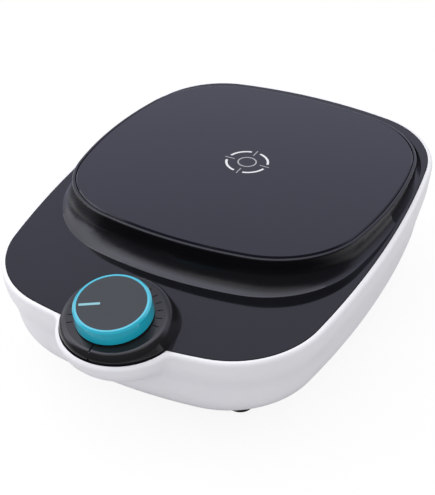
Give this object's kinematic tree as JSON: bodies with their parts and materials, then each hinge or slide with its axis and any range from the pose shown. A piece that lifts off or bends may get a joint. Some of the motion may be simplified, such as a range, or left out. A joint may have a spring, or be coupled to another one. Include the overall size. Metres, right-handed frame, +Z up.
{
  "type": "magnetic stirrer",
  "caption": "Compact bench magnetic stirrer: rounded white tub, gloss black sloped cover, square-round top plate and a tilted speed knob over a hidden spinning magnet.",
  "frame": {"origin": "centre of the overall footprint at table height", "axes": "+Z up, -Y towards the user and the knob, +X to the user's right"},
  "size_m": [0.1502, 0.2073, 0.0619],
  "materials": {
    "white_shell": "satin white moulding",
    "black_gloss": "gloss black moulding",
    "black_glass": "polished black plate",
    "rubber_black": "matte",
    "blue_grip": "soft satin cyan",
    "grey_cap": "fine matte dark grey",
    "pale_mark": "pale cyan inlay",
    "steel": "plated",
    "zinc_screw": "zinc plated",
    "brass_part": "plain",
    "board_green": "solder mask",
    "black_plastic": "moulded",
    "white_plastic": "moulded",
    "magnet": "nickel plated",
    "holder": "machined",
    "red_lead": "lead insulation"
  },
  "bodies": {
    "base": {"lower_shell": "white_shell", "feet": "rubber_black", "case_screws": "zinc_screw", "top_cover": "black_gloss", "top_plate": "black_glass", "dial_bezel": "black_gloss", "control_body": "steel", "control_washer": "steel", "control_nut": "brass_part", "motor_bracket": "steel", "motor_dampers": "rubber_black", "bracket_screws": "zinc_screw", "motor_can": "steel", "motor_screws": "zinc_screw", "control_board": "board_green", "board_screws": "zinc_screw", "board_capacitors": "black_plastic", "board_driver": "black_plastic", "board_sockets": "white_plastic", "dc_inlet": "black_plastic", "inlet_pin": "brass_part", "inlet_nut": "brass_part", "inlet_lead": "red_lead", "motor_lead": "red_lead", "control_lead": "red_lead"},
    "rotor": {"motor_shaft": "steel", "magnet_holder": "holder", "magnet_yoke": "steel", "drive_magnets": "magnet", "magnet_set_screw": "zinc_screw"},
    "knob": {"control_shaft": "brass_part", "knob_grip": "blue_grip", "knob_cap": "grey_cap", "knob_pointer": "pale_mark"}
  },
  "joints": [
    {"name": "knob_turn", "type": "hinge", "parent": "base", "child": "knob", "pos_m": [0, -0.0846, 0.05868], "axis": [0, -0.229, 0.9734], "range_deg": [-252, 18]},
    {"name": "rotor_spin", "type": "hinge", "parent": "base", "child": "rotor", "pos_m": [0, 0.0276, 0.046], "axis": [0, 0, 1], "continuous": true}
  ]
}
